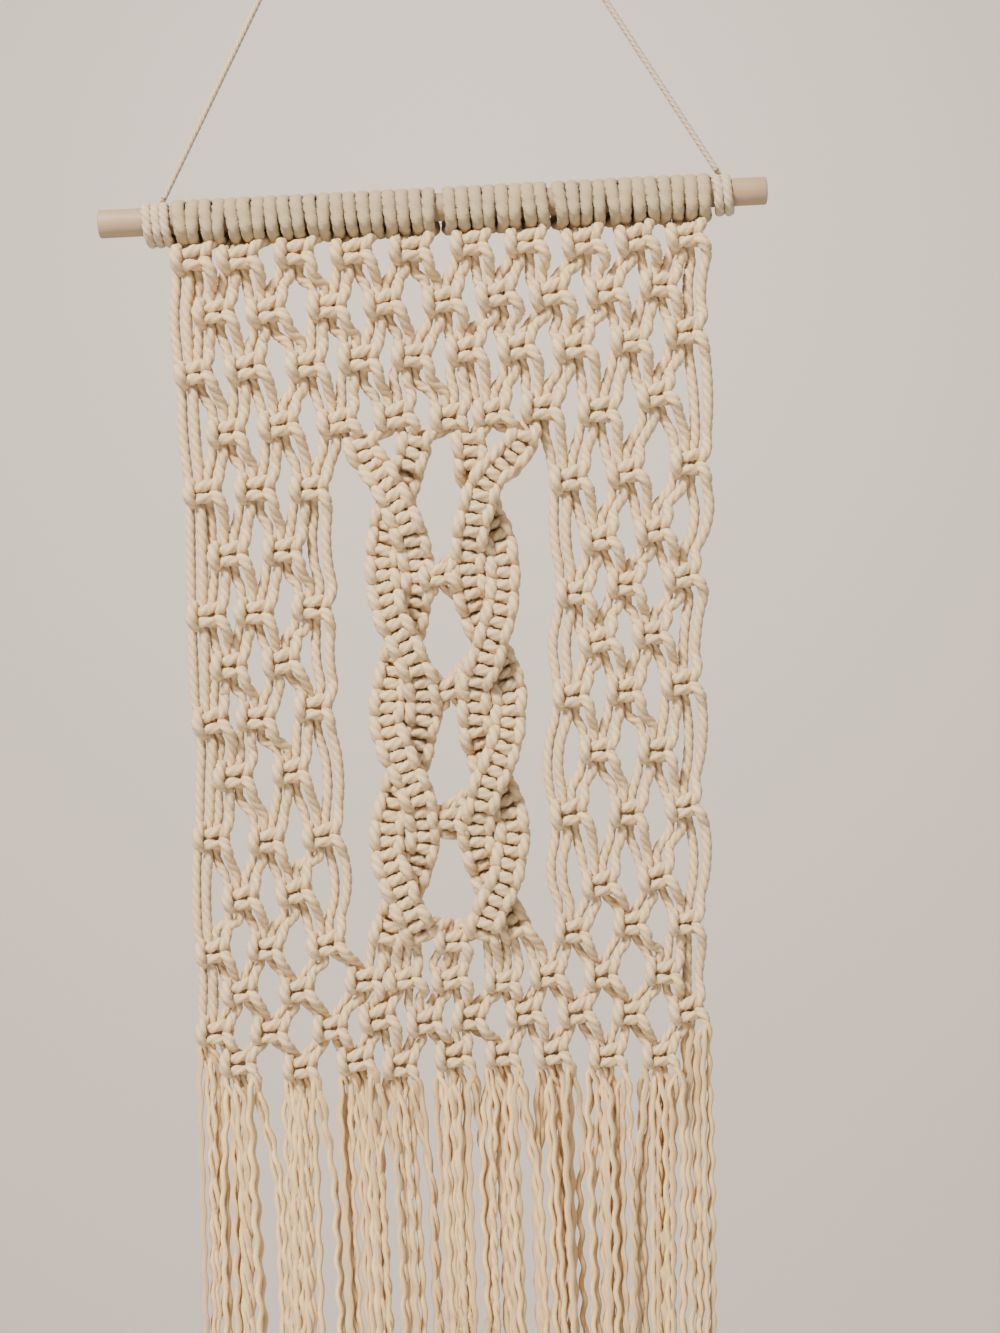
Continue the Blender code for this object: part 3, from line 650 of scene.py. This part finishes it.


# One dark colour serves the random patches, the fibres and each cord's tint, and the painted shade in the
# ply grooves.
DARK_FIBRE_AND_GROOVE_SHADE = (0.40, 0.30, 0.19)
COTTON = cotton("natural_cotton", (0.77, 0.55, 0.295), (0.71, 0.49, 0.24), DARK_FIBRE_AND_GROOVE_SHADE,
                plies=PLIES, fibre_pitch=0.9, uneven=0.12)
# The heading's cotton is the panel's cord, with its colours darkened as painted shade, and without ply
# grooves.
SMOOTH_SHADED_COTTON = cotton("heading_cotton_shaded", (0.43, 0.33, 0.183), (0.38, 0.283, 0.151), DARK_FIBRE_AND_GROOVE_SHADE,
                plies=0, fibre_pitch=0.3, uneven=0.18, grain=1.1)
# On the fringe, the painted groove shade draws two dark lines along each ply, standing for the shade between
# neighbouring plies.
COMBED = cotton("combed_cotton", (0.86, 0.585, 0.265), (0.79, 0.515, 0.22), (0.42, 0.30, 0.18),
                plies=2, fibre_pitch=0.2, uneven=0.3)
CORD = cotton("cotton_cord", (0.62, 0.505, 0.355), (0.57, 0.445, 0.30), DARK_FIBRE_AND_GROOVE_SHADE,
              plies=PLIES, fibre_pitch=0.9, uneven=0.1)
WOUND = cotton("wound_cotton", (0.60, 0.47, 0.30), (0.55, 0.415, 0.25), DARK_FIBRE_AND_GROOVE_SHADE,
               plies=PLIES, fibre_pitch=0.9, uneven=0.1)
WOOD = wood()

# -------------------------------------------------------------- cords in place
LARKS_HEAD = (                # from the bight at the back, under and up the front, over the top
    (0.0, 12.4, 5.0, 1.02), (4.5, 12.0, 5.2, 1.02), (5.3, 9.8, 7.8, .96), (4.0, 4.6, 9.9, .98),
    (3.05, -.6, 10.3, 1.02), (2.75, -4.8, 9.0, 1.08), (2.9, -8.3, 4.5, 1.15),
    (2.95, -9.3, -1.0, 1.17), (2.97, -6.7, -6.6, 1.16), (2.97, 0.0, -9.3, 1.14), (2.7, 6.2, -6.6, 1.08))
FLATTENED = 0.62              # how much of its plies' outline a pressed cord shows
PART_BELOW = 1.5              # from a strand's last knot to where its plies part
PART_LEAN = 0.2               # it leans on as it came, by this share
PART_THICK = 0.9
END_TAPER = (.4, .75, .92)    # thickness of a cord's last rings
END_RINGS = 3                 # over which its direction is taken for the plies
GROUPS = {
    "left_strip": range(0, 12),
    "left_braids": range(12, 20),
    "right_braids": range(20, 28),
    "right_strip": range(28, 40),
}


def group_of(s):
    return next(name for name, members in GROUPS.items() if s in members)


def hem_of(s):
    return "hem_left" if s < STRANDS / 2 else "hem_right"


def head_points(head, noise):
    """The path of one lark's head over the dowel, from its left strand to its
    right one.  Its legs lean, swell and stand out a little unevenly in front."""
    middle = head_middle(head)
    path = []
    for side, points in ((-1, LARKS_HEAD[:0:-1]), (1, LARKS_HEAD)):
        lean = noise.uniform(-.05, .13)
        fat = noise.uniform(.95, 1.06)
        out = noise.uniform(-.7, .4)
        for x, y, drop, thick in points:
            shift = (lean * drop + noise.uniform(-.15, .15)) * (y < 0)
            path.append((middle + side * x + shift, y - out * (y < -5), drop, thick * fat))
    return path


def nearest(places, point, low, high):
    """The ring from low up to high that is nearest to a point."""
    gaps = np.linalg.norm(places[low:high] - np.array(point[:3]), axis=1)
    return low + int(gaps.argmin())


def dress_cords():
    """Twenty folded cords, shared out between the pieces, and where their plies part."""
    noise = random.Random(23)
    bundles = {name: Bundle() for name in (*GROUPS, "heading_knots", "hem_left", "hem_right")}
    ends = [None] * STRANDS
    for path in PATHS:
        path.pop()
        (xa, _, _, _), (x, y, drop, _) = path[-2:]
        path.append((x + (x - xa) * PART_LEAN, y, drop + PART_BELOW, PART_THICK))
    for head in range(HEADS):
        left, right = 2 * head, 2 * head + 1
        path = PATHS[left][::-1] + head_points(head, noise) + PATHS[right]
        rings = cord_rings(path, phase=noise.uniform(0, 2 * math.pi), start=(1.0, 0.0, 0.0))
        tint = noise.uniform(0, 1)
        rings["radii"][:len(END_TAPER)] *= END_TAPER
        rings["radii"][-len(END_TAPER):] *= END_TAPER[::-1]
        places = rings["places"]
        count = len(places)
        bight = nearest(places, (head_middle(head), *LARKS_HEAD[0][1:3]), 0, count)
        head_a = nearest(places, PATHS[left][1], 0, bight)
        head_b = nearest(places, PATHS[right][1], bight, count)
        hem_a = nearest(places, HEM[left], 0, head_a)
        hem_b = nearest(places, HEM[right], head_b, count)
        rings["lobes"][head_a:head_b] = FLATTENED
        add_cord(bundles[hem_of(left)], rings, 0, hem_a + 1, tint)
        add_cord(bundles[group_of(left)], rings, hem_a, head_a + 1, tint)
        add_cord(bundles["heading_knots"], rings, head_a, head_b + 1, tint)
        add_cord(bundles[group_of(right)], rings, head_b, hem_b + 1, tint)
        add_cord(bundles[hem_of(right)], rings, hem_b, count, tint)
        # A cord's rings run up to the dowel on its left, and down on its right.
        for s, i, way in ((left, 0, -1), (right, count - 1, 1)):
            run = places[i] - places[i - END_RINGS * way]
            ends[s] = dict(place=places[i], across=rings["across"][i], up=rings["up"][i],
                           turn=rings["turns"][i], way=way, slope=run[0] / max(1.0, run[2]))
    for name in GROUPS:
        bundles[name].build(name, COTTON, "cotton", "panel", tight=True)
    bundles["heading_knots"].build("heading_knots", SMOOTH_SHADED_COTTON, "cotton", "heading", tight=True)
    for name in ("hem_left", "hem_right"):
        bundles[name].build(name, COTTON, "combed_cotton", "fringe")
    return ends


def tie_knots():
    """The knots that hold the two inner sennits together, their ends tucked into them."""
    noise = random.Random(5)
    bundle = Bundle()
    for x, drop in TIES:
        lean = noise.uniform(-.2, .2)
        for shape in KNOT:
            points = knot_points(shape, x, TIE_DEPTH, drop, lean, TIE_SIZE, TIE_SIZE, noise)
            (xa, _, da, ta), (_, _, db, tb) = points[0], points[-1]
            reach = math.copysign(TIE_REACH, xa - x)
            bend_x, bend_depth = x + reach * TIE_BEND[0], TIE_BEND[1]
            end_depth, end_rise = TIE_END
            points = [(x + reach, end_depth, da - end_rise, ta), (bend_x, bend_depth, da, ta), *points[1:-1],
                      (bend_x, bend_depth, db, tb), (x + reach, end_depth, db + end_rise, tb)]
            rings = cord_rings(points, radius=CORD_RADIUS * TIE_CORD, phase=noise.uniform(0, 6.3))
            rings["radii"][[0, -1]] *= TIE_TAPER
            add_cord(bundle, rings, tint=noise.random())
    bundle.build("tie_knots", COTTON, "cotton", "panel")


# --------------------------------------------------------------- the fringe
FRINGE_TIP = 592.0
# How far the fringe has swung sideways at its tips, at these strands.
FRINGE_LEAN = ((0, 4, 8, 15, 20, 25, 31, 35, 39), (-5.0, -1.5, -4.0, 1.5, -3.0, 0.0, -5.0, -8.5, -10.0))
EDGE_INWARD = 2.0             # the edge cords' plies part towards the others
TUFT_DRAW = 0.1               # how far a knot's strands draw together, as a share
TUFT_SIDES = {1: 1, 2: -1}    # a tuft's last and first strand stray into the gap beside it
PLY_RADIUS = 1.25
PLY_WAVE = 1.25               # a ply's distance from its cord's middle, while it is laid
COMBED_WAVE = (.45, .85)      # and when it is combed out
COMBED_LAY = (14.5, 18.0)     # one turn of that wave
PLY_SIDES = 8
PLY_OVAL = 0.07               # a ply's section is oval by this share
PLY_STEP = 2.8
PLY_START = (.5, .9)          # thickness of its first rings
PLY_END = (.9, .6)            # and of its last ones
PLY_INSIDE = 5.0              # a ply starts this far up inside its cord
PART_FROM = -4.0              # below the cord's end, plies start to part here
PART_OVER = 15.0              # and have parted over so far
SWING_OVER = 60.0             # a stray ply has swung aside after this
SETTLE_OVER = 30.0            # and every ply hangs in the fringe's plane after this


def tuft_middles(ends):
    """For each strand, the middle x of those that leave the same knot, or edge."""
    tufts = {}
    for s, end in enumerate(ends):
        members = tufts.setdefault((s + 2) // KNOT_STRANDS, [])
        members.append(end["place"][0])
    middles = {tuft: sum(members) / len(members) for tuft, members in tufts.items()}
    return [middles[(s + 2) // KNOT_STRANDS] for s in range(STRANDS)]


def plies(ends):
    """Every strand combed out into three plies that keep a soft wave of their lay."""
    noise = random.Random(7)
    bundle = Bundle()
    outline = [1.0 + PLY_OVAL * math.cos(4 * math.pi * k / PLY_SIDES) for k in range(PLY_SIDES)]
    for s, (end, tuft) in enumerate(zip(ends, tuft_middles(ends))):
        x0, y0, d0 = end["place"]
        drawn = TUFT_DRAW * (tuft - x0)
        lean = np.interp(s, *FRINGE_LEAN) + noise.uniform(-1.2, 1.2)
        inward = EDGE_INWARD * ((s < 2) - (s > STRANDS - 3))
        for k in range(PLIES):
            tip = FRINGE_TIP + noise.uniform(-6, 6)
            drops = np.arange(d0 - PLY_INSIDE, tip, PLY_STEP)
            below = drops - d0
            t = np.clip(below / (tip - d0), 0, 1)
            opened = smooth((below - PART_FROM) / PART_OVER)
            swing = smooth(below / SWING_OVER)

            # its wave
            lay = LAY + (noise.uniform(*COMBED_LAY) - LAY) * opened
            angle = end["turn"] + 2 * math.pi * k / PLIES + end["way"] * 2 * math.pi * below / lay
            wave = PLY_WAVE + opened * (noise.uniform(*COMBED_WAVE) - PLY_WAVE)
            offset = ((wave * np.cos(angle))[:, None] * end["across"]
                      + (wave * np.sin(angle))[:, None] * end["up"])

            # its middle line
            apart_x = (k - 1) * noise.uniform(2.1, 2.9) + noise.uniform(-.5, .5) + inward
            apart_y = noise.uniform(-3.4, 3.4)
            stray_x = noise.uniform(-1, 1)
            stray_y = 0.0
            side = TUFT_SIDES.get(s % KNOT_STRANDS)
            if side and noise.random() < .5:
                stray_x = noise.uniform(2.5, 7.5) * side
                stray_y = noise.uniform(.5, 3)
            slow = noise.uniform(0, 6.3)
            drift = noise.uniform(.2, .9) * (np.sin(slow + t * noise.uniform(3, 7)) - math.sin(slow))
            x = x0 + end["slope"] * np.minimum(below, 0) + (drawn + apart_x + drift) * opened
            x += stray_x * swing + lean * t
            y = y0 * np.clip(1 - below / SETTLE_OVER, 0, 1) + apart_y * opened + stray_y * swing

            places = np.column_stack((x, y, drops)) + offset * (1, 1, 0)
            across, up = frames(places, (1.0, 0.0, 0.0))
            radii = PLY_RADIUS + opened * noise.uniform(-.05, .3)
            radii[:2] *= PLY_START
            radii[-2:] *= PLY_END
            turns = np.full(len(drops), noise.uniform(0, 6.3))
            bundle.tube(places, across, up, radii, outline, turns, tint=noise.random())
    bundle.build("fringe_plies", COMBED, "combed_cotton", "fringe")


WISPS = 16
WISP_X = (-20, 2)
WISP_DROP = (492, 512)
WISP_DEPTHS = (-2.0, -5.4, -4.6)        # where it starts, in its bend and at its tip
WISP_RADIUS = 0.24
WISP_TIP = 0.4                # share of that at its tip
WISP_STEP = 1.5


def wisps():
    """A few hairs that have worked loose near the fringe's middle."""
    noise = random.Random(13)
    bundle = Bundle()
    for _ in range(WISPS):
        x = noise.uniform(*WISP_X)
        drop = noise.uniform(*WISP_DROP)
        reach = noise.uniform(-9, 9)
        fall = noise.uniform(4, 14)
        bend = noise.uniform(-5, 5)
        start, middle, tip = WISP_DEPTHS
        path = [(x, start, drop), (x + reach * .5 + bend, middle, drop + fall * .4),
                (x + reach, tip, drop + fall)]
        places = resample(path, WISP_STEP)
        across, up = frames(places)
        radii = WISP_RADIUS * np.linspace(1, WISP_TIP, len(places))
        bundle.tube(places, across, up, radii, (1, 1, 1, 1), np.zeros(len(places)), tint=noise.random())
    bundle.build("fringe_wisps", COMBED, "combed_cotton", "fringe")


ENDS = dress_cords()
tie_knots()
plies(ENDS)
wisps()

# --------------------------------------------------------------- on the dowel
DOWEL_SIDES = 72
DOWEL_EDGE = 0.7              # how far in from a corner its end edges are rounded
DOWEL_CUT = 0.3               # the share of that by which the corner itself is cut
DOWEL_SPANS = 40


def dowel():
    """The dowel turned as one piece, its end edges softened."""
    r, half = DOWEL_DIAMETER / 2, DOWEL_LENGTH / 2
    cut = DOWEL_EDGE * DOWEL_CUT
    end = [(half, 0.0), (half, r - DOWEL_EDGE), (half - cut, r - cut), (half - DOWEL_EDGE, r)]
    run = 2 * (half - DOWEL_EDGE) / DOWEL_SPANS
    outline = [(-x, radius) for x, radius in end]
    outline += [(DOWEL_EDGE - half + run * k, r) for k in range(1, DOWEL_SPANS)]
    outline += end[::-1]
    bm = bmesh.new()
    rings = []
    for x, radius in outline:
        ring = []
        for k in range(DOWEL_SIDES):
            turn = 2 * math.pi * k / DOWEL_SIDES
            y = radius * math.cos(turn)
            z = radius * math.sin(turn) - DOWEL_DROP
            ring.append(bm.verts.new((x * MM, y * MM, z * MM)))
        rings.append(ring)
    for a, b in zip(rings, rings[1:]):
        for k in range(DOWEL_SIDES):
            bm.faces.new((a[k], b[k], b[(k + 1) % DOWEL_SIDES], a[(k + 1) % DOWEL_SIDES]))
    bmesh.ops.remove_doubles(bm, verts=bm.verts, dist=0.01 * MM)
    bmesh.ops.recalc_face_normals(bm, faces=bm.faces)
    mesh = bpy.data.meshes.new("dowel_turned")
    bm.to_mesh(mesh)
    bm.free()
    for face in mesh.polygons:
        face.use_smooth = True
    finish_piece("dowel_turned", mesh, WOOD, "dowel")


dowel()

# ------------------------------------------------------------ hanging cord
CORD_DIAMETER = 3.0
CORD_LAY = 9.0
CORD_RING_STEP = 1.3
CORD_CLEAR = 0.4              # air between the cord and the windings, and above its peak
TURN_LAY = 12.0
TURN_WIDTH = 4.8              # of a turn, which lies slack
TURN_CLEAR = 0.2              # between it and what it is wound on
TURN_POINTS = 14              # of its path
TURN_UNEVEN = 0.3             # how far they stray sideways
RUN_OUT = 1.4                 # how much further out than a turn the cord runs up behind
RUN_AT = .7                   # halfway, it lies this share of that back, and as much up
RUN_THICK = 1.2
LAST_BEND = (.9, 1.2, 2.6)    # before it leaves, it is this far outward, back and down
BORE_CLEAR = 0.35             # between the dowel and what is wound on it
BORE = DOWEL_DIAMETER / 2 + BORE_CLEAR
LEFT_EXIT_X = -122.6
RIGHT_EXIT_X = 130.5
EXIT_DROP = -(BORE + CORD_DIAMETER + CORD_CLEAR)
CORD_MEET = (-0.5, -234.7)    # where its straight halves would meet
CORD_STEP = 9.0
ARC_STEPS = 60
# (piece, node, x of its first and last turn, turns, how far they sag, x where the cord leaves)
WINDINGS = (
    ("winding_left_turns", "winding_left", -131.9, -119.9, 3, 0.2, LEFT_EXIT_X),
    ("winding_right_turns", "winding_right", 136.2, 127.9, 2, 0.02, RIGHT_EXIT_X),
)


def cord_route():
    """The hanging cord's middle line as in the CAD, (x, depth, drop), and its length."""
    meet = Vector(CORD_MEET)
    exits = [Vector((x, EXIT_DROP)) for x in (LEFT_EXIT_X, RIGHT_EXIT_X)]
    left, right = [(end - meet).normalized() for end in exits]
    middle = (left + right).normalized()
    sine = math.sqrt(1 - middle.dot(left) ** 2)
    radius = (CORD_CLEAR - DOWEL_DROP - meet.y) / ((1 / sine - 1) * middle.y)
    centre = meet + middle * (radius / sine)
    spread = math.acos(sine)
    line = [exits[0]]
    for k in range(ARC_STEPS + 1):
        turn = spread * (2 * k / ARC_STEPS - 1)
        c, s = math.cos(turn), math.sin(turn)
        line.append(centre - radius * Vector((middle.x * c - middle.y * s, middle.x * s + middle.y * c)))
    line = np.array([(p.x, 0.0, p.y) for p in line + [exits[1]]])
    walked = distances(line)
    goals = np.linspace(0, walked[-1], round(walked[-1] / CORD_STEP) + 1)
    return np.column_stack([np.interp(goals, walked, column) for column in line.T]), walked[-1]


def winding(name, node, start_x, end_x, turns, sag, exit_x):
    """The thin cord's slack turns round the dowel, and its run up from behind to where it leaves."""
    noise = random.Random(name)
    radius = BORE + CORD_DIAMETER / 2 + TURN_CLEAR
    way = -1 if end_x > start_x else 1
    count = turns * TURN_POINTS
    path = []
    for k in range(count + 1):
        angle = way * 2 * math.pi * turns * (k / count - 1)
        slack = 1.0 + sag * max(0.0, math.sin(angle))
        x = start_x + k / count * (end_x - start_x) + noise.uniform(-TURN_UNEVEN, TURN_UNEVEN)
        path.append((x, radius * math.cos(angle), radius * math.sin(angle) * slack,
                     TURN_WIDTH / CORD_DIAMETER))
    # Pressing pulls the path in, so it ends as far out as pressing brings to the exit.
    foot = -(PRESS_RADIUS + (-EXIT_DROP - PRESS_RADIUS) / PRESS)
    run = (radius + RUN_OUT) * RUN_AT
    aside, back, down = LAST_BEND
    path += [((end_x + exit_x) / 2, run, -run, RUN_THICK),
             (exit_x + math.copysign(aside, exit_x), back, foot + down, 1.0), (exit_x, 0.0, foot, 1.0)]
    bundle = Bundle()
    add_cord(bundle, cord_rings(path, CORD_DIAMETER / 2, TURN_LAY, CORD_RING_STEP, start=(1.0, 0.0, 0.0)))
    return bundle.build(name, WOUND, "cord", node, tight=True)


def hanging_cord():
    route, length = cord_route()
    windings = [winding(*place) for place in WINDINGS]
    path = np.column_stack((route, np.ones(len(route))))
    bundle = Bundle()
    add_cord(bundle, cord_rings(path, CORD_DIAMETER / 2, CORD_LAY, CORD_RING_STEP))
    cord = bundle.build("hanging_cord_laid", CORD, "cord", "hanging_cord")


hanging_cord()

# ------------------------------------------------------- floor, light, camera
# Metres from here on.
STAGE_SIZE = 12.0
FLOOR_Z = -2.6
BACKDROP_Y = 3.2


def stage_plane(name, place, turn, colour):
    bpy.ops.mesh.primitive_plane_add(size=STAGE_SIZE, location=place, rotation=turn)
    plane = bpy.context.object
    plane.name = name
    material = bpy.data.materials.new(name)
    _, shader = nodes_of(material)
    shader.inputs["Base Color"].default_value = (*colour, 1)
    shader.inputs["Roughness"].default_value = 0.9
    plane.data.materials.append(material)


stage_plane("floor", (0, 0, FLOOR_Z), (0, 0, 0), (0.82, 0.79, 0.74))
stage_plane("backdrop", (0, BACKDROP_Y, 0), (math.pi / 2, 0, 0), (0.815, 0.70, 0.595))


def area_light(name, place, aim, size, watts, colour):
    data = bpy.data.lights.new(name, "AREA")
    data.shape = "DISK"
    data.size = size
    data.energy = watts
    data.color = colour
    lamp = bpy.data.objects.new(name, data)
    bpy.context.scene.collection.objects.link(lamp)
    lamp.location = place
    lamp.rotation_euler = (Vector(aim) - Vector(place)).to_track_quat("-Z", "Y").to_euler()


MIDDLE = (0.0, 0.0, -0.44)    # of the cloth, where most lights point
area_light("key", (-0.9, -1.5, 1.25), MIDDLE, 0.55, 147.0, (1.0, 0.95, 0.88))
area_light("fill", (1.5, -1.7, -0.5), MIDDLE, 1.6, 16.0, (1.0, 0.97, 0.93))
area_light("low", (-0.7, -0.9, -1.05), (0.0, 0.0, -0.62), 0.5, 7.0, (1.0, 0.96, 0.9))
area_light("back", (0.6, 1.8, 0.8), MIDDLE, 1.2, 24.0, (1.0, 0.97, 0.94))
area_light("wash", (0.0, 1.3, 0.9), (0.0, BACKDROP_Y, -0.4), 1.4, 29.0, (1.0, 0.96, 0.91))

sky = bpy.data.worlds.new("studio")
bpy.context.scene.world = sky
sky.use_nodes = True
sky_light = sky.node_tree.nodes["Background"]
sky_light.inputs["Color"].default_value = (0.79, 0.86, 0.98, 1)
sky_light.inputs["Strength"].default_value = 0.53

VIEW_HEIGHT = 0.609           # what the picture spans at the cloth
VIEW_X = 0.020                # of its middle
VIEW_DROP = 211.0             # and that middle's drop, in the chart's millimetres
DISTANCE = 0.95
ROLL = math.radians(2.92)     # the picture was taken a little turned
SENSOR = 36.0
camera_data = bpy.data.cameras.new("camera")
camera = bpy.data.objects.new("camera", camera_data)
bpy.context.scene.collection.objects.link(camera)
camera_data.sensor_fit = "VERTICAL"
camera_data.sensor_height = SENSOR
camera_data.lens = SENSOR * DISTANCE / VIEW_HEIGHT
camera_data.clip_end = 30.0
camera.location = (VIEW_X, -DISTANCE, -(DOWEL_DROP + VIEW_DROP) * MM)
camera.rotation_euler = (Matrix.Rotation(ROLL, 3, "Y") @ Matrix.Rotation(math.pi / 2, 3, "X")).to_euler()
bpy.context.scene.camera = camera

bpy.context.view_layer.update()
